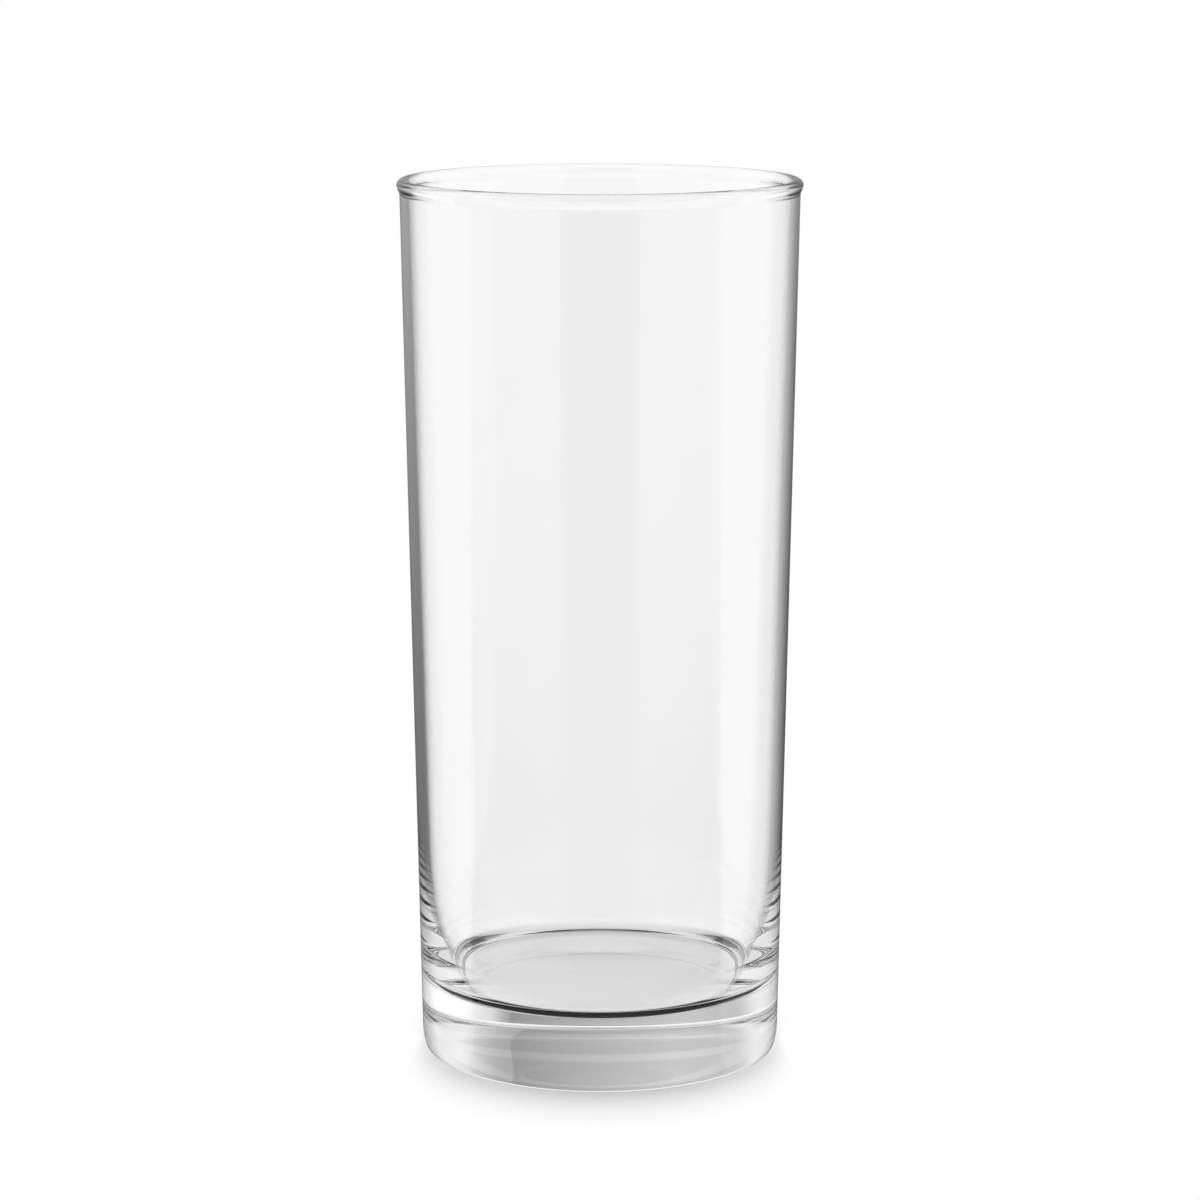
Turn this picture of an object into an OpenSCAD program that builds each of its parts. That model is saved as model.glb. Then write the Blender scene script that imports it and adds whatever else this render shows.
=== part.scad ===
// Straight-sided tumbler for water, in clear glass.
// The glass is one fused piece. It is drawn as three solids that meet face to face on
// flat rings across the wall: the heavy base, the thin side wall and the rim bead.
// The origin is the centre of the foot, on the plane that the glass stands on.

/* [Glass] */
// Height of the glass from the table to the crest of the rim
glass_h = 150; // [110:1:190]
// Outer diameter of the straight taper, carried down to the table
foot_d = 61.5; // [56:0.1:66]
// Outer diameter of the straight taper, carried up to the height of the crest
mouth_d = 67.3; // [64:0.1:80]

/* [Side wall] */
// Thickness that the side wall would have at the crest of the rim
wall_t = 1.45; // [1:0.05:3]
// How much thicker than that its straight inside would make it at the table
wall_gain = 0.6; // [0:0.05:1.5]

/* [Rim bead] */
// Thickness of the bead across its widest line
bead_t = 2.2; // [1.8:0.1:4]
// How far the bead stands out from the outside of the wall
bead_proud = 0.45; // [0.1:0.05:1]
// Height of the round crown above the widest line
crown_h = 1; // [0.6:0.1:3]
// Height of the soft slope from the wall up to the widest line
slope_h = 1.7; // [0.8:0.1:4]
// Plain wall below the slope that is drawn with the bead
collar_h = 0.4; // [0.2:0.1:3]

/* [Base] */
// Height of the edge of the inner floor above the table
floor_h = 11.7; // [8:0.1:20]
// How far the middle of the inner floor stands above its edge
floor_rise = 1.1; // [0.2:0.1:2]
// Height above the floor over which the wall thickens
splay_h = 33.3; // [15:0.1:45]
// How much the inside closes in over that height
splay = 2.8; // [0.5:0.1:5]
// Radius of the corner between the inner floor and the wall
corner_r = 3.5; // [1.5:0.1:6]
// How far the rounded heel reaches in under the wall
heel_w = 1; // [0.3:0.1:2.5]
// Height of the rounded heel
heel_h = 4.75; // [2:0.05:7.5]
// Diameter of the shallow hollow under the base
hollow_d = 41; // [20:1:48]
// Depth of the hollow at its middle
hollow_depth = 0.5; // [0.2:0.1:2]

/* [Hidden] */

// Flats round the axis, and straight steps in each curve of an outline
$fn = 180;
CURVE_STEPS = 32;
SMALL_STEPS = 12;

QUARTER_TURN = 90;
HALF_TURN = 180;

// Steps that bring the corner arc into line with the wall
TANGENT_STEPS = 12;
// Power of the closing in above the floor: nothing at the joint, steeper towards the floor
SPLAY_POWER = 4;
// Power of the inner floor's rise: flat in the middle, steeper towards the edge
FLOOR_POWER = 4;
GLASS_COLOUR = [0.86, 0.88, 0.89, 0.5];

taper = (mouth_d - foot_d) / 2 / glass_h;
bore_taper = taper + wall_gain / glass_h;
floor_joint_z = floor_h + splay_h;
widest_z = glass_h - crown_h;
slope_z = widest_z - slope_h;
rim_joint_z = slope_z - collar_h;
bead_r = wall_r(widest_z) + bead_proud;
bead_reach_in = bore_r(widest_z) - (bead_r - bead_t);
bead_mid_r = bead_r - bead_t / 2;

heel_inner_r = wall_r(heel_h) - heel_w;
corner_lean = lean_after(TANGENT_STEPS);
corner_top_z = floor_h + corner_r * (1 - sin(corner_lean));
corner_mid_r = splayed_r(corner_top_z) - corner_r * cos(corner_lean);

// Radius of the outside of the wall, and of its inside above the base, at height z
function wall_r(z) = foot_d / 2 + taper * z;
function bore_r(z) = wall_r(glass_h) - wall_t - bore_taper * (glass_h - z);

// Share of a slope's rise at share t of its run: level at both ends
function soft_share(t) = (1 - cos(HALF_TURN * t)) / 2;

// Inside of the lower wall at height z, and how far it leans out from upright there
function splay_share(z) = (floor_joint_z - z) / splay_h;
function splayed_r(z) = bore_r(z) - splay * pow(splay_share(z), SPLAY_POWER);
function lean(z) =
    atan(bore_taper + SPLAY_POWER * splay / splay_h * pow(splay_share(z), SPLAY_POWER - 1));

// How far the wall leans out where the corner arc runs into it, closer with each step
function lean_after(count) =
    count < 1 ? 0 : lean(floor_h + corner_r * (1 - sin(lean_after(count - 1))));

function steps(count) = [for (i = [0 : count]) i / count];

// Hollow under the base, from the axis out to the bearing ring
function hollow_line() = [
    for (t = steps(SMALL_STEPS))
        [hollow_d / 2 * sin(QUARTER_TURN * t), hollow_depth * pow(cos(QUARTER_TURN * t), 2)]
];

// Rounded heel, from the bearing ring up to the wall
function heel_line() = [
    for (t = steps(SMALL_STEPS))
        [heel_inner_r + heel_w * sin(QUARTER_TURN * t), heel_h * (1 - cos(QUARTER_TURN * t))]
];

// Inside of the lower wall, from the joint with the side wall down to the corner
function splay_line() = [
    for (t = steps(CURVE_STEPS))
        let (z = floor_joint_z + (corner_top_z - floor_joint_z) * t)
        [splayed_r(z), z]
];

// Corner arc, from the lower wall to the edge of the floor
function corner_line() = [
    for (t = steps(SMALL_STEPS))
        let (turn = corner_lean + (QUARTER_TURN - corner_lean) * t)
        [corner_mid_r + corner_r * cos(turn), floor_h + corner_r * (1 - sin(turn))]
];

// Inner floor, from its edge to the axis
function floor_line() = [
    for (t = steps(SMALL_STEPS))
        [corner_mid_r * (1 - t), floor_h + floor_rise * (1 - pow(1 - t, FLOOR_POWER))]
];

// Outside of the bead, from the wall up to the widest line
function outer_slope_line() = [
    for (t = steps(SMALL_STEPS))
        [wall_r(slope_z + slope_h * t) + bead_proud * soft_share(t), slope_z + slope_h * t]
];

// Crown of the bead, from the widest line outside to the one inside
function crown_line() = [
    for (t = steps(CURVE_STEPS))
        [bead_mid_r + bead_t / 2 * cos(HALF_TURN * t), widest_z + crown_h * sin(HALF_TURN * t)]
];

// Inside of the bead, from the widest line down to the wall
function inner_slope_line() = [
    for (t = steps(SMALL_STEPS))
        [bore_r(widest_z - slope_h * t) - bead_reach_in * soft_share(1 - t), widest_z - slope_h * t]
];

// Heavy foot with the inner floor, the hollow underside and the thick lower wall
module base() {
    color(GLASS_COLOUR)
        rotate_extrude()
            polygon(concat(
                hollow_line(),
                heel_line(),
                [[wall_r(floor_joint_z), floor_joint_z]],
                splay_line(),
                corner_line(),
                floor_line()
            ));
}

// Thin tapered shell between the base and the bead
module side_wall() {
    color(GLASS_COLOUR)
        rotate_extrude()
            polygon([
                [bore_r(floor_joint_z), floor_joint_z],
                [wall_r(floor_joint_z), floor_joint_z],
                [wall_r(rim_joint_z), rim_joint_z],
                [bore_r(rim_joint_z), rim_joint_z]
            ]);
}

// Rounded rim, a little thicker than the wall
module rim_bead() {
    color(GLASS_COLOUR)
        rotate_extrude()
            polygon(concat(
                [[bore_r(rim_joint_z), rim_joint_z]],
                [[wall_r(rim_joint_z), rim_joint_z]],
                outer_slope_line(),
                crown_line(),
                inner_slope_line()
            ));
}

base();
side_wall();
rim_bead();
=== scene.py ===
"""A straight-sided water glass in clear glass, with a small white studio round it."""

import math

import bmesh
import bpy
from bpy.props import FloatProperty, FloatVectorProperty, IntProperty, PointerProperty
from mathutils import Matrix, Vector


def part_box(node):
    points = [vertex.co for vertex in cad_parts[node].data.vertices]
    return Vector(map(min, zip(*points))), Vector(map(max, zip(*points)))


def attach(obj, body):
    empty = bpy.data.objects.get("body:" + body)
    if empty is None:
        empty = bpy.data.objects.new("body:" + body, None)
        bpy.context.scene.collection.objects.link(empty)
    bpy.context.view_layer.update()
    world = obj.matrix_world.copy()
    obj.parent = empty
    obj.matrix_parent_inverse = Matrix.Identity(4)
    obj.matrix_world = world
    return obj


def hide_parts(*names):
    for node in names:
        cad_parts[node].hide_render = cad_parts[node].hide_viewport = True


bl_info = {
    "name": "Water Glass",
    "version": (1, 0, 0),
    "blender": (4, 5, 0),
    "location": "3D View > Sidebar > Water Glass",
    "description": "Builds a clear tumbler with a heavy base, and a white studio for it",
    "category": "Add Mesh",
}

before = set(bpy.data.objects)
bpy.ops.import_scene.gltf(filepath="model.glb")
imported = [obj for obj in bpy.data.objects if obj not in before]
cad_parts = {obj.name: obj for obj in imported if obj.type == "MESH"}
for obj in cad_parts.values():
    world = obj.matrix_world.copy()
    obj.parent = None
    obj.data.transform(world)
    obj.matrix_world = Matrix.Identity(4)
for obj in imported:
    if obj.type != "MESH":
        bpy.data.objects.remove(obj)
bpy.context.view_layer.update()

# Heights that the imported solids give
FLOOR_JOINT_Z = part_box("side_wall")[0].z
RIM_JOINT_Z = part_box("rim_bead")[0].z
CREST_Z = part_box("rim_bead")[1].z

FULL_TURN = math.tau
HALF_TURN = math.pi
QUARTER_TURN = math.pi / 2

# Closest that two points of a mesh may lie, how far off a joint its faces may lie,
# and the least upright part of a level face's normal
MERGE_DISTANCE = 1e-7
JOINT_REACH = 1e-6
LEVEL = 0.99

# Steps that bring the corner arc into line with the lower wall
TANGENT_STEPS = 20

# Noise values between which the cloudiness of the glass fades out
CLOUD_FADE = (0.3, 0.5)

# The floor's radius, the flats of its edge, and how far it lies under the foot
FLOOR_RADIUS = 6.0
FLOOR_FLATS = 64
FLOOR_DROP = 2e-5

# Shade on the floor. It reaches furthest and is darkest straight in front and behind:
# each gain is what that direction adds to the value at the sides
SHADE_SAMPLES = 16
SHADE_REACH = 0.0016
SHADE_REACH_GAIN = 0.0184
SHADE_REACH_POWER = 1.5
SHADE_POWER = 1.3
SHADE_LIMIT = 0.36
SHADE_WEIGHT = 0.45
SHADE_WEIGHT_GAIN = 0.68

# Painted shade on the floor right under the glass, as seen through it: its strength from above, and
# once through the base
UNDER_RADIUS = 0.0298
UNDER_SHADE_FROM_ABOVE = 0.9
UNDER_SHADE_ONCE = 0.45

# Floor for rays that the glass has thrown back, and the radius past which it is open
# to them and to rays that left the glass less than CLOSE before
THROWN_BACK_FLOOR = 0.01
OPEN_RADIUS = 0.0305
CLOSE = 0.1

# The grey room that the glass mirrors and bends. Each row is one step: the two places
# between which it runs, and its value at both. Across is 1 at the right, along is 1
# behind the glass and rise is 1 straight up.
BACK_FADE = (-0.30, 0.36, 0.62, 0.335)
BACK_STEP = (0.350, 0.364, 0.0, 0.10)
BACK_LEFT_DIM = (-0.75, -0.35, 0.86, 1.0)
BACK_RIGHT_GLOW = (0.36, 0.74, 0.0, 0.45)
BACK_LEFT_GLOW = (-0.88, -0.74, 0.35, 0.0)
BACK_SHELVES = ((0.27, 0.29, 1.0, 1.17), (0.32, 0.34, 1.0, 0.87), (0.38, 0.42, 1.0, 0.88))
BACK_LOW_DIM = (0.2, 0.5, 0.27, 0.62)
BACK_LOW_RISE = (-0.28, 0.11)
FRONT_GLOW = (-0.95, -0.88, 0.0, 0.4)
FRONT_RISE = (-0.28, -0.15, 0.0, 1.0)
FRONT_TO_BACK = (0.0, 0.5, 0.0, 1.0)
SIDE_START_RIGHT = 0.405
SIDE_START_LEFT = 0.30
SIDE_EDGE = (-0.05, 0.05, 0.0, 1.0)
SIDE_END = (0.62, 0.82, 1.0, 0.0)
SIDE_GREY = (0.0, 0.6, 0.75, 0.9)
CEILING_EDGE = (0.5, 0.6, 0.0, 1.0)
CEILING_GREY = (-0.2, 0.2, 0.9, 0.5)
MIRROR_GLOW = (0.36, 0.46, 0.0, 0.3)
MIRROR_SLOPE = (-0.74, -0.66, 0.0, 1.0)

# Width of the camera's sensor in millimetres, and of the photograph's frame in pixels
SENSOR_WIDTH = 36
FRAME_PIXELS = 1200


class GlassSizes(bpy.types.PropertyGroup):
    """Sizes of the glass itself."""

    foot_diameter: FloatProperty(
        name="Foot Diameter",
        description="Outer diameter of the taper, carried down to the table",
        default=0.0615,
        unit="LENGTH",
    )
    mouth_diameter: FloatProperty(
        name="Mouth Diameter",
        description="Outer diameter of the taper, carried up to the crest",
        default=0.0673,
        unit="LENGTH",
    )
    wall: FloatProperty(
        name="Wall",
        description="Thickness that the side wall would have at the crest of the rim",
        default=0.00145,
        unit="LENGTH",
    )
    wall_gain: FloatProperty(
        name="Wall Gain",
        description="How much thicker than that its straight inside would make it at the table",
        default=0.0006,
        unit="LENGTH",
    )
    bead_thickness: FloatProperty(
        name="Bead Thickness",
        description="Thickness of the rim bead across its widest line",
        default=0.0022,
        unit="LENGTH",
    )
    bead_proud: FloatProperty(
        name="Bead Proud",
        description="How far the bead stands out from the wall",
        default=0.00045,
        unit="LENGTH",
    )
    crown_height: FloatProperty(
        name="Crown Height",
        description="Height of the round crown above the bead's widest line",
        default=0.001,
        unit="LENGTH",
    )
    slope_height: FloatProperty(
        name="Slope Height",
        description="Height of the soft slope from the wall up to the bead's widest line",
        default=0.0017,
        unit="LENGTH",
    )
    floor_height: FloatProperty(
        name="Floor Height",
        description="Height of the edge of the inner floor above the table",
        default=0.0117,
        unit="LENGTH",
    )
    floor_rise: FloatProperty(
        name="Floor Rise",
        description="How far the middle of the inner floor stands above its edge",
        default=0.0011,
        unit="LENGTH",
    )
    floor_power: FloatProperty(
        name="Floor Power",
        description="Power of the inner floor's rise: flat in the middle, steeper towards the edge",
        default=4.0,
    )
    splay: FloatProperty(
        name="Splay",
        description="How much the inside closes in from the joint down to the floor",
        default=0.0028,
        unit="LENGTH",
    )
    splay_power: FloatProperty(
        name="Splay Power",
        description="Power of the closing in: nothing at the joint, steeper towards the floor",
        default=4.0,
    )
    corner_radius: FloatProperty(
        name="Corner Radius",
        description="Radius of the corner between the inner floor and the wall",
        default=0.0035,
        unit="LENGTH",
    )
    heel_width: FloatProperty(
        name="Heel Width",
        description="How far the rounded heel reaches in under the wall",
        default=0.001,
        unit="LENGTH",
    )
    heel_height: FloatProperty(
        name="Heel Height",
        description="Height of the rounded heel",
        default=0.00475,
        unit="LENGTH",
    )
    hollow_diameter: FloatProperty(
        name="Hollow Diameter",
        description="Diameter of the shallow hollow under the base",
        default=0.041,
        unit="LENGTH",
    )
    hollow_depth: FloatProperty(
        name="Hollow Depth",
        description="Depth of the hollow at its middle",
        default=0.0005,
        unit="LENGTH",
    )
    flats: IntProperty(
        name="Flats",
        description="Flats round the axis",
        default=256,
        min=24,
    )
    curve_steps: IntProperty(
        name="Curve Steps",
        description="Straight steps in each curve of an outline",
        default=48,
        min=4,
    )


class GlassLook(bpy.types.PropertyGroup):
    """Finish of the glass."""

    tint: FloatVectorProperty(
        name="Tint",
        description="Colour that the glass gives to light",
        default=(1.0, 1.0, 1.0),
        size=3,
        subtype="COLOR",
    )
    bending: FloatProperty(
        name="Index",
        description="Refractive index of the glass",
        default=1.52,
    )
    wave_length: FloatProperty(
        name="Wave Length",
        description="Distance between the faint waves that pressing leaves in the surface",
        default=0.012,
        unit="LENGTH",
    )
    wave_depth: FloatProperty(
        name="Wave Depth",
        description="Depth of those waves",
        default=0.00001,
        unit="LENGTH",
    )
    cloud_tint: FloatVectorProperty(
        name="Cloud Tint",
        description="Colour that the glass gives to light where it is least clear",
        default=(0.992, 0.994, 0.994),
        size=3,
        subtype="COLOR",
    )


class StudioLook(bpy.types.PropertyGroup):
    """The camera, the floor and the light round the glass."""

    camera_distance: FloatProperty(
        name="Camera Distance",
        description="Level distance from the axis of the glass to the camera",
        default=0.6633,
        unit="LENGTH",
    )
    camera_height: FloatProperty(
        name="Camera Height",
        description="Height of the camera above the table",
        default=0.2024,
        unit="LENGTH",
    )
    camera_tilt: FloatProperty(
        name="Camera Tilt",
        description="How far the camera looks down",
        default=math.radians(10.615),
        unit="ROTATION",
    )
    focal_pixels: FloatProperty(
        name="Focal Length in Pixels",
        description="Focal length of the photograph's view, for a frame 1200 pixels wide",
        default=3950.0,
    )
    bounces: IntProperty(
        name="Bounces",
        description="How often light may turn inside the thick glass",
        default=32,
    )


def sizes():
    return bpy.context.scene.water_glass_sizes


def look():
    return bpy.context.scene.water_glass_look


def studio():
    return bpy.context.scene.water_glass_studio


def taper():
    return (sizes().mouth_diameter - sizes().foot_diameter) / 2 / CREST_Z


def wall_radius(z):
    """Outside of the wall at height z."""
    return sizes().foot_diameter / 2 + taper() * z


def bore_taper():
    return taper() + sizes().wall_gain / CREST_Z


def bore_radius(z):
    """Inside of the wall at height z, above the base."""
    return wall_radius(CREST_Z) - sizes().wall - bore_taper() * (CREST_Z - z)


def steps(count):
    return [i / count for i in range(count + 1)]


def soft_share(t):
    """Share of a slope's rise at share t of its run, level at both ends."""
    return (1 - math.cos(HALF_TURN * t)) / 2


def hollow_line():
    """Hollow under the base, from the axis out to the bearing ring."""
    s = sizes()
    return [
        (
            s.hollow_diameter / 2 * math.sin(QUARTER_TURN * t),
            s.hollow_depth * math.cos(QUARTER_TURN * t) ** 2,
        )
        for t in steps(s.curve_steps)
    ]


def heel_line():
    """Rounded heel, from the bearing ring up to the wall."""
    s = sizes()
    inner = wall_radius(s.heel_height) - s.heel_width
    return [
        (
            inner + s.heel_width * math.sin(QUARTER_TURN * t),
            s.heel_height * (1 - math.cos(QUARTER_TURN * t)),
        )
        for t in steps(s.curve_steps)
    ]


def splayed_radius(z):
    """Inside of the thickened lower wall at height z."""
    s = sizes()
    share = (FLOOR_JOINT_Z - z) / (FLOOR_JOINT_Z - s.floor_height)
    return bore_radius(z) - s.splay * share ** s.splay_power


def lean(z):
    """How far the inside of the lower wall leans out from upright at height z."""
    s = sizes()
    drop = FLOOR_JOINT_Z - s.floor_height
    share = (FLOOR_JOINT_Z - z) / drop
    return math.atan(bore_taper() + s.splay_power * s.splay / drop * share ** (s.splay_power - 1))


def corner_top():
    """Height where the corner arc runs into the lower wall."""
    s = sizes()
    z = s.floor_height + s.corner_radius
    for _ in range(TANGENT_STEPS):
        z = s.floor_height + s.corner_radius * (1 - math.sin(lean(z)))
    return z


def floor_line():
    """Inside of the base: down the lower wall, round the corner and over the floor."""
    s = sizes()
    top = corner_top()
    tilt = lean(top)
    line = []
    for t in steps(s.curve_steps * 2):
        z = FLOOR_JOINT_Z + (top - FLOOR_JOINT_Z) * t
        line.append((splayed_radius(z), z))
    middle = splayed_radius(top) - s.corner_radius * math.cos(tilt)
    for t in steps(s.curve_steps)[1:]:
        turn = tilt + (QUARTER_TURN - tilt) * t
        line.append((
            middle + s.corner_radius * math.cos(turn),
            s.floor_height + s.corner_radius * (1 - math.sin(turn)),
        ))
    for t in steps(s.curve_steps * 2)[1:]:
        rise = s.floor_rise * (1 - (1 - t) ** s.floor_power)
        line.append((middle * (1 - t), s.floor_height + rise))
    return line


def bead_line():
    """Bead, up its outside, over the crown and down its inside."""
    s = sizes()
    widest = CREST_Z - s.crown_height
    low = widest - s.slope_height
    outer = wall_radius(widest) + s.bead_proud
    middle = outer - s.bead_thickness / 2
    reach_in = bore_radius(widest) - (outer - s.bead_thickness)
    slope_steps = steps(s.curve_steps // 2)
    line = []
    for t in slope_steps:
        z = low + s.slope_height * t
        line.append((wall_radius(z) + s.bead_proud * soft_share(t), z))
    for t in steps(s.curve_steps)[1:-1]:
        line.append((
            middle + s.bead_thickness / 2 * math.cos(HALF_TURN * t),
            widest + s.crown_height * math.sin(HALF_TURN * t),
        ))
    for t in slope_steps:
        z = widest - s.slope_height * t
        line.append((bore_radius(z) - reach_in * soft_share(1 - t), z))
    return line


def turned(name, outline, closed):
    """A closed solid turned from an outline of (radius, height) points."""
    mesh = bmesh.new()
    points = [mesh.verts.new((r, 0, z)) for r, z in outline]
    pairs = list(zip(points, points[1:]))
    if closed:
        pairs.append((points[-1], points[0]))
    edges = [mesh.edges.new(pair) for pair in pairs]
    bmesh.ops.spin(
        mesh,
        geom=points + edges,
        cent=(0, 0, 0),
        axis=(0, 0, 1),
        angle=FULL_TURN,
        steps=sizes().flats,
        use_merge=True,
    )
    bmesh.ops.remove_doubles(mesh, verts=mesh.verts, dist=MERGE_DISTANCE)
    bmesh.ops.recalc_face_normals(mesh, faces=mesh.faces)
    data = bpy.data.meshes.new(name)
    for face in mesh.faces:
        face.smooth = True
        face.material_index = on_joint(face)
    for edge in mesh.edges:
        edge.smooth = len({f.material_index for f in edge.link_faces}) == 1
    mesh.to_mesh(data)
    mesh.free()
    piece = bpy.data.objects.new(name, data)
    bpy.context.collection.objects.link(piece)
    data.materials.append(clear_glass())
    data.materials.append(fused_face())
    return piece


def on_joint(face):
    """1 for a face that lies on a fused joint, where one portion runs into the next."""
    z = face.calc_center_median().z
    level = abs(face.normal.z) > LEVEL
    off = min(abs(z - FLOOR_JOINT_Z), abs(z - RIM_JOINT_Z))
    return int(level and off < JOINT_REACH)


def fit(piece, node):
    """Let a piece stand for its CAD node."""
    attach(piece, "root")
    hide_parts(node)


class Nodes:
    """Short calls for building a shader tree."""

    def __init__(self, tree):
        self.tree = tree

    def add(self, kind, **values):
        node = self.tree.nodes.new(kind)
        for name, value in values.items():
            setattr(node, name, value)
        return node

    def plug(self, value, socket):
        if isinstance(value, bpy.types.NodeSocket):
            self.tree.links.new(value, socket)
        else:
            socket.default_value = value

    def math(self, operation, *values, clamp=False):
        node = self.add("ShaderNodeMath", operation=operation, use_clamp=clamp)
        for value, socket in zip(values, node.inputs):
            self.plug(value, socket)
        return node.outputs[0]

    def ramp(self, value, low, high, at_low, at_high, soft=True):
        """Step from at_low to at_high while value runs from low to high."""
        kind = "SMOOTHSTEP" if soft else "LINEAR"
        node = self.add("ShaderNodeMapRange", interpolation_type=kind)
        for item, socket in zip((value, low, high, at_low, at_high), node.inputs):
            self.plug(item, socket)
        return node.outputs[0]

    def mix(self, share, first, second):
        """first where share is 0, second where it is 1."""
        gap = self.math("SUBTRACT", second, first)
        return self.math("ADD", first, self.math("MULTIPLY", share, gap))

    def either(self, share, first, second):
        """The shader first where share is 0, second where it is 1."""
        both = self.add("ShaderNodeMixShader")
        self.plug(share, both.inputs[0])
        self.plug(first.outputs[0], both.inputs[1])
        self.plug(second.outputs[0], both.inputs[2])
        return both

    def finish(self, shader, kind="ShaderNodeOutputMaterial"):
        out = self.add(kind)
        self.plug(shader.outputs[0], out.inputs["Surface"])


def new_material(name):
    """A material, and its emptied tree the first time that it is asked for."""
    material = bpy.data.materials.get(name)
    if material:
        return material, None
    material = bpy.data.materials.new(name)
    material.use_nodes = True
    material.node_tree.nodes.clear()
    return material, material.node_tree


def clear_glass():
    """Polished glass with faint waves, and clouds that are fainter still."""
    material, tree = new_material("polished_glass")
    if tree is None:
        return material
    nodes = Nodes(tree)
    place = nodes.add("ShaderNodeTexCoord")
    cloud = nodes.add("ShaderNodeTexNoise")
    nodes.plug(1 / look().wave_length, cloud.inputs["Scale"])
    nodes.plug(place.outputs["Object"], cloud.inputs["Vector"])
    wave = nodes.add("ShaderNodeBump")
    nodes.plug(look().wave_depth, wave.inputs["Distance"])
    nodes.plug(cloud.outputs[0], wave.inputs["Height"])
    tint = nodes.add("ShaderNodeValToRGB")
    colours = (look().cloud_tint, look().tint)
    for stop, share, colour in zip(tint.color_ramp.elements, CLOUD_FADE, colours):
        stop.position = share
        stop.color = (*colour, 1)
    nodes.plug(cloud.outputs[0], tint.inputs[0])
    glass = nodes.add("ShaderNodeBsdfPrincipled")
    nodes.plug(tint.outputs[0], glass.inputs["Base Color"])
    nodes.plug(wave.outputs[0], glass.inputs["Normal"])
    nodes.plug(0.0, glass.inputs["Roughness"])
    nodes.plug(look().bending, glass.inputs["IOR"])
    nodes.plug(1.0, glass.inputs["Transmission Weight"])
    # Light passes to the floor, where a cast shadow would be solid
    path = nodes.add("ShaderNodeLightPath")
    through = nodes.add("ShaderNodeBsdfTransparent")
    nodes.finish(nodes.either(path.outputs["Is Shadow Ray"], glass, through))
    return material


def fused_face():
    """Nothing to be seen, because there is no surface where two portions are fused."""
    material, tree = new_material("fused_joint")
    if tree is None:
        return material
    nodes = Nodes(tree)
    nodes.finish(nodes.add("ShaderNodeBsdfTransparent"))
    return material


class MakeBase(bpy.types.Operator):
    """Make the heavy base with its inner floor and hollow underside"""

    bl_idname = "water_glass.make_base"
    bl_label = "Base"

    def execute(self, context):
        outline = hollow_line() + heel_line()
        outline.append((wall_radius(FLOOR_JOINT_Z), FLOOR_JOINT_Z))
        outline += floor_line()
        fit(turned("clear_base", outline, closed=False), "base")
        return {"FINISHED"}


class MakeSideWall(bpy.types.Operator):
    """Make the thin tapered side wall"""

    bl_idname = "water_glass.make_side_wall"
    bl_label = "Side Wall"

    def execute(self, context):
        outline = [
            (wall_radius(FLOOR_JOINT_Z), FLOOR_JOINT_Z),
            (wall_radius(RIM_JOINT_Z), RIM_JOINT_Z),
            (bore_radius(RIM_JOINT_Z), RIM_JOINT_Z),
            (bore_radius(FLOOR_JOINT_Z), FLOOR_JOINT_Z),
        ]
        fit(turned("clear_side_wall", outline, closed=True), "side_wall")
        return {"FINISHED"}


class MakeRimBead(bpy.types.Operator):
    """Make the rounded rim"""

    bl_idname = "water_glass.make_rim_bead"
    bl_label = "Rim Bead"

    def execute(self, context):
        outline = [(wall_radius(RIM_JOINT_Z), RIM_JOINT_Z)]
        outline += bead_line()
        outline.append((bore_radius(RIM_JOINT_Z), RIM_JOINT_Z))
        fit(turned("clear_rim_bead", outline, closed=True), "rim_bead")
        return {"FINISHED"}


class MakeStudio(bpy.types.Operator):
    """Make the floor, the light and the camera"""

    bl_idname = "water_glass.make_studio"
    bl_label = "Studio"

    def execute(self, context):
        make_floor()
        make_world()
        make_camera()
        context.scene.view_settings.view_transform = "Standard"
        limits = context.scene.cycles
        limits.max_bounces = studio().bounces
        limits.glossy_bounces = studio().bounces
        limits.transmission_bounces = studio().bounces
        return {"FINISHED"}


def thrown_back(nodes):
    """1 for a ray that the glass has thrown back, 0 for one that shows the white behind it."""
    path = nodes.add("ShaderNodeLightPath")
    seen = path.outputs["Is Camera Ray"]
    shown = nodes.math("ADD", seen, path.outputs["Is Transmission Ray"], clamp=True)
    direct = nodes.math("LESS_THAN", path.outputs["Glossy Depth"], 0.5)
    return nodes.math("SUBTRACT", 1.0, nodes.math("MULTIPLY", shown, direct))


def crossed_once(nodes):
    """1 for a ray that has gone in and out of the glass once."""
    path = nodes.add("ShaderNodeLightPath")
    return nodes.math("COMPARE", path.outputs["Transmission Depth"], 2.0, 0.5)


def floor_shade(nodes, ahead):
    """Strength of the floor, with the soft shade round the foot.

    ahead is 1 straight in front of and behind the glass, 0 at its sides.
    """
    reach = nodes.math("POWER", ahead, SHADE_REACH_POWER)
    reach = nodes.math("MULTIPLY_ADD", reach, SHADE_REACH_GAIN, SHADE_REACH)
    near = nodes.add("ShaderNodeAmbientOcclusion", samples=SHADE_SAMPLES)
    nodes.plug(reach, near.inputs["Distance"])
    hidden = nodes.math("SUBTRACT", 1.0, near.outputs["AO"])
    hidden = nodes.math("MINIMUM", nodes.math("POWER", hidden, SHADE_POWER), SHADE_LIMIT)
    weight = nodes.math("MULTIPLY_ADD", ahead, SHADE_WEIGHT_GAIN, SHADE_WEIGHT)
    return nodes.math("SUBTRACT", 1.0, nodes.math("MULTIPLY", hidden, weight))


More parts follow.
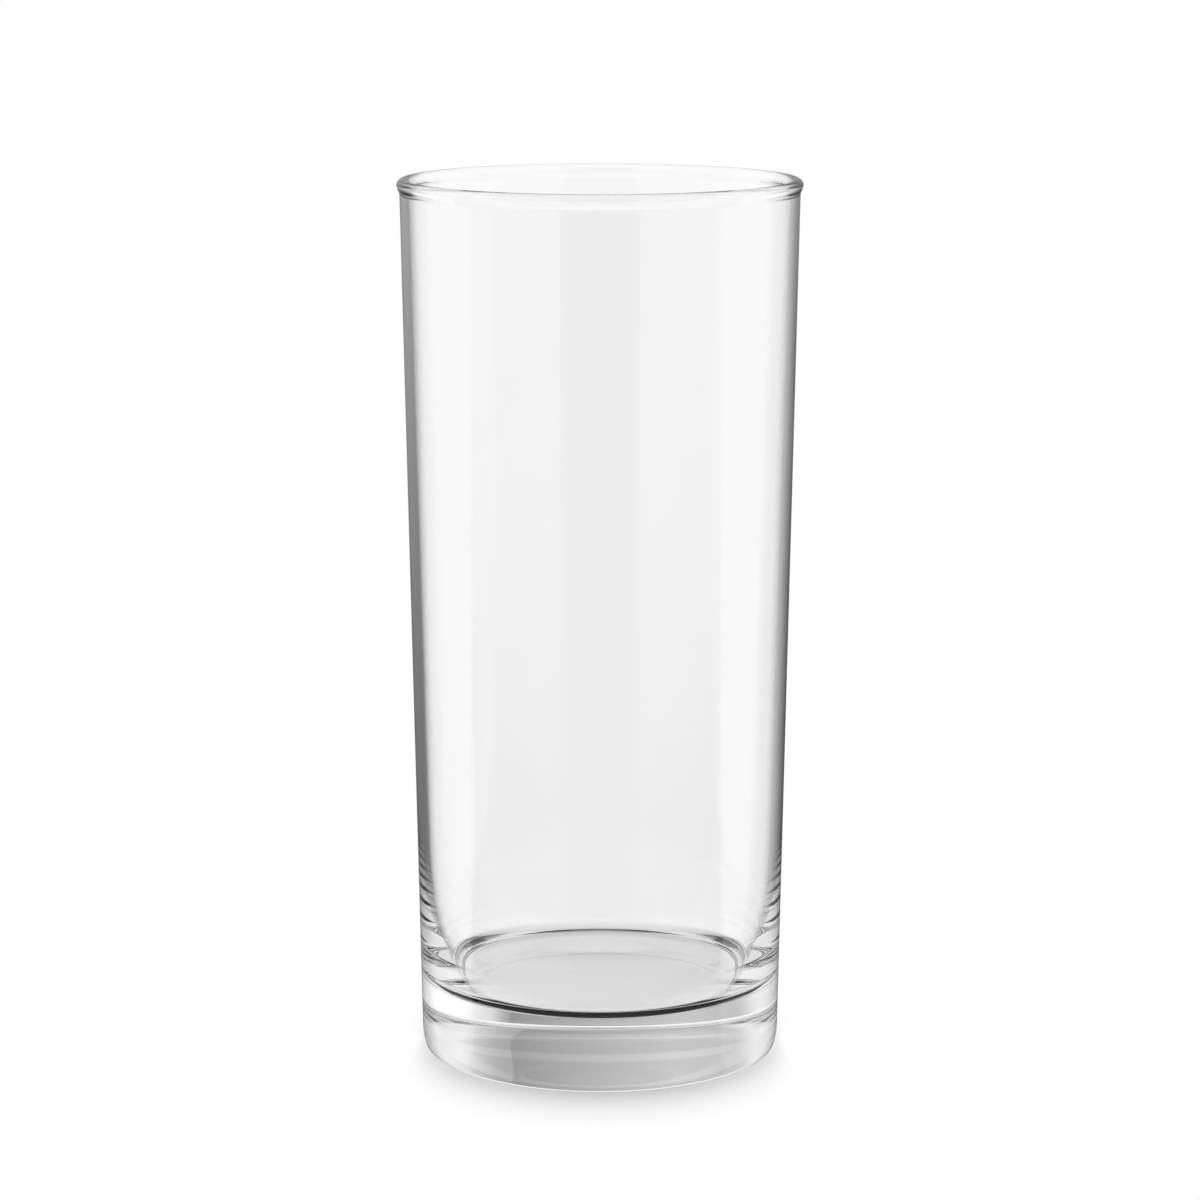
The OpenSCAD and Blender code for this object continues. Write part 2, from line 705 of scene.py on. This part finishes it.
def pale_floor():
    """White floor with the glass's shade, dark or open for rays that the glass turned away."""
    material, tree = new_material("studio_floor")
    nodes = Nodes(tree)
    place = nodes.add("ShaderNodeTexCoord").outputs["Object"]
    length = nodes.add("ShaderNodeVectorMath", operation="LENGTH")
    nodes.plug(place, length.inputs[0])
    radius = length.outputs["Value"]
    split = nodes.add("ShaderNodeSeparateXYZ")
    nodes.plug(place, split.inputs[0])
    ahead = nodes.math("DIVIDE", nodes.math("ABSOLUTE", split.outputs["Y"]), radius)
    path = nodes.add("ShaderNodeLightPath")
    once = crossed_once(nodes)
    back = thrown_back(nodes)
    # Painted shade under the glass: seen through the glass its floor is a little dimmer, and darker
    # still once through the base
    inside = nodes.math("LESS_THAN", radius, UNDER_RADIUS)
    under = nodes.math("MULTIPLY", path.outputs["Is Transmission Ray"], inside)
    through = nodes.mix(once, UNDER_SHADE_FROM_ABOVE, UNDER_SHADE_ONCE)
    shown = nodes.mix(under, floor_shade(nodes, ahead), through)
    glow = nodes.add("ShaderNodeEmission")
    nodes.plug(nodes.mix(back, shown, THROWN_BACK_FLOOR), glow.inputs["Strength"])
    short = nodes.math("LESS_THAN", path.outputs["Ray Length"], CLOSE)
    turned_away = nodes.math("MAXIMUM", back, nodes.math("MULTIPLY", once, short))
    outside = nodes.math("GREATER_THAN", radius, OPEN_RADIUS)
    clear = nodes.add("ShaderNodeBsdfTransparent")
    nodes.finish(nodes.either(nodes.math("MULTIPLY", turned_away, outside), glow, clear))
    return material


def make_floor():
    mesh = bmesh.new()
    bmesh.ops.create_circle(mesh, cap_ends=True, segments=FLOOR_FLATS, radius=FLOOR_RADIUS)
    bmesh.ops.translate(mesh, verts=mesh.verts, vec=(0, 0, -FLOOR_DROP))
    data = bpy.data.meshes.new("floor")
    mesh.to_mesh(data)
    mesh.free()
    floor = bpy.data.objects.new("floor", data)
    bpy.context.collection.objects.link(floor)
    data.materials.append(pale_floor())


def room_behind(nodes, across, rise):
    """Grey of the wall behind the glass, with a step right of the middle and shelves above."""
    grey = nodes.ramp(across, *BACK_FADE, soft=False)
    grey = nodes.math("ADD", grey, nodes.ramp(across, *BACK_STEP))
    grey = nodes.math("MULTIPLY", grey, nodes.ramp(across, *BACK_LEFT_DIM))
    grey = nodes.math("ADD", grey, nodes.ramp(across, *BACK_RIGHT_GLOW))
    grey = nodes.math("ADD", grey, nodes.ramp(across, *BACK_LEFT_GLOW))
    for shelf in BACK_SHELVES:
        grey = nodes.math("MULTIPLY", grey, nodes.ramp(rise, *shelf))
    low = nodes.ramp(across, *BACK_LOW_DIM)
    return nodes.math("MULTIPLY", grey, nodes.ramp(rise, *BACK_LOW_RISE, low, 1.0))


def room_in_front(nodes, along, rise):
    """Glow of the wall in front of the glass."""
    return nodes.math("MULTIPLY", nodes.ramp(along, *FRONT_GLOW), nodes.ramp(rise, *FRONT_RISE))


def with_side_walls(nodes, room, across, along, rise):
    """The room with its pale side walls, whose front edges lean."""
    left = nodes.math("LESS_THAN", across, 0.0)
    start = nodes.mix(left, SIDE_START_RIGHT, SIDE_START_LEFT)
    edge = nodes.math("ADD", nodes.math("ADD", along, rise), start)
    side = nodes.math("MULTIPLY", nodes.ramp(edge, *SIDE_EDGE), nodes.ramp(along, *SIDE_END))
    return nodes.mix(side, room, nodes.ramp(along, *SIDE_GREY))


def let_through(nodes, z):
    """1 for a ray that crossed the base once and left through the open floor, if not steep."""
    path = nodes.add("ShaderNodeLightPath")
    opened = nodes.math("GREATER_THAN", path.outputs["Transparent Depth"], 0.5)
    straight = nodes.math("SUBTRACT", 1.0, thrown_back(nodes))
    share = nodes.math("MULTIPLY", nodes.math("MULTIPLY", crossed_once(nodes), opened), straight)
    return nodes.math("MULTIPLY", share, nodes.ramp(z, *MIRROR_SLOPE))


def make_world():
    """White behind the glass, and a grey room for what the glass mirrors and bends."""
    world = bpy.data.worlds.new("white_room")
    world.use_nodes = True
    tree = world.node_tree
    tree.nodes.clear()
    nodes = Nodes(tree)
    place = nodes.add("ShaderNodeTexCoord")
    split = nodes.add("ShaderNodeSeparateXYZ")
    nodes.plug(place.outputs["Generated"], split.inputs[0])
    x, y, z = split.outputs
    squares = nodes.math("ADD", nodes.math("MULTIPLY", x, x), nodes.math("MULTIPLY", y, y))
    level = nodes.math("SQRT", squares)
    across = nodes.math("DIVIDE", x, level)
    along = nodes.math("DIVIDE", y, level)
    mirrored = let_through(nodes, z)
    rise = nodes.mix(mirrored, z, nodes.math("ABSOLUTE", z))
    front = room_in_front(nodes, along, rise)
    back = room_behind(nodes, across, rise)
    room = nodes.mix(nodes.ramp(along, *FRONT_TO_BACK), front, back)
    room = with_side_walls(nodes, room, across, along, rise)
    ceiling = nodes.ramp(along, *CEILING_GREY)
    room = nodes.mix(nodes.ramp(rise, *CEILING_EDGE), room, ceiling)
    extra = nodes.math("MULTIPLY", mirrored, nodes.ramp(across, *MIRROR_GLOW))
    room = nodes.math("ADD", room, extra)
    glow = nodes.add("ShaderNodeBackground")
    nodes.plug((1, 1, 1, 1), glow.inputs["Color"])
    turned_away = nodes.math("MAXIMUM", thrown_back(nodes), mirrored)
    nodes.plug(nodes.mix(turned_away, 1.0, room), glow.inputs["Strength"])
    nodes.finish(glow, "ShaderNodeOutputWorld")
    bpy.context.scene.world = world


def make_camera():
    s = studio()
    data = bpy.data.cameras.new("camera")
    data.sensor_width = SENSOR_WIDTH
    data.lens = s.focal_pixels / FRAME_PIXELS * SENSOR_WIDTH
    camera = bpy.data.objects.new("camera", data)
    camera.location = (0, -s.camera_distance, s.camera_height)
    camera.rotation_euler = (QUARTER_TURN - s.camera_tilt, 0, 0)
    bpy.context.collection.objects.link(camera)
    bpy.context.scene.camera = camera


class WaterGlassPanel(bpy.types.Panel):
    bl_idname = "VIEW3D_PT_water_glass"
    bl_label = "Water Glass"
    bl_space_type = "VIEW_3D"
    bl_region_type = "UI"
    bl_category = "Water Glass"

    def draw(self, context):
        for maker in MAKERS:
            self.layout.operator(maker.bl_idname)


MAKERS = (MakeBase, MakeSideWall, MakeRimBead, MakeStudio)
CLASSES = (GlassSizes, GlassLook, StudioLook, *MAKERS, WaterGlassPanel)


def register():
    for cls in CLASSES:
        bpy.utils.register_class(cls)
    bpy.types.Scene.water_glass_sizes = PointerProperty(type=GlassSizes)
    bpy.types.Scene.water_glass_look = PointerProperty(type=GlassLook)
    bpy.types.Scene.water_glass_studio = PointerProperty(type=StudioLook)


def unregister():
    del bpy.types.Scene.water_glass_studio
    del bpy.types.Scene.water_glass_look
    del bpy.types.Scene.water_glass_sizes
    for cls in reversed(CLASSES):
        bpy.utils.unregister_class(cls)


def main():
    register()
    bpy.ops.water_glass.make_base()
    bpy.ops.water_glass.make_side_wall()
    bpy.ops.water_glass.make_rim_bead()
    bpy.ops.water_glass.make_studio()


if __name__ == "__main__":
    main()
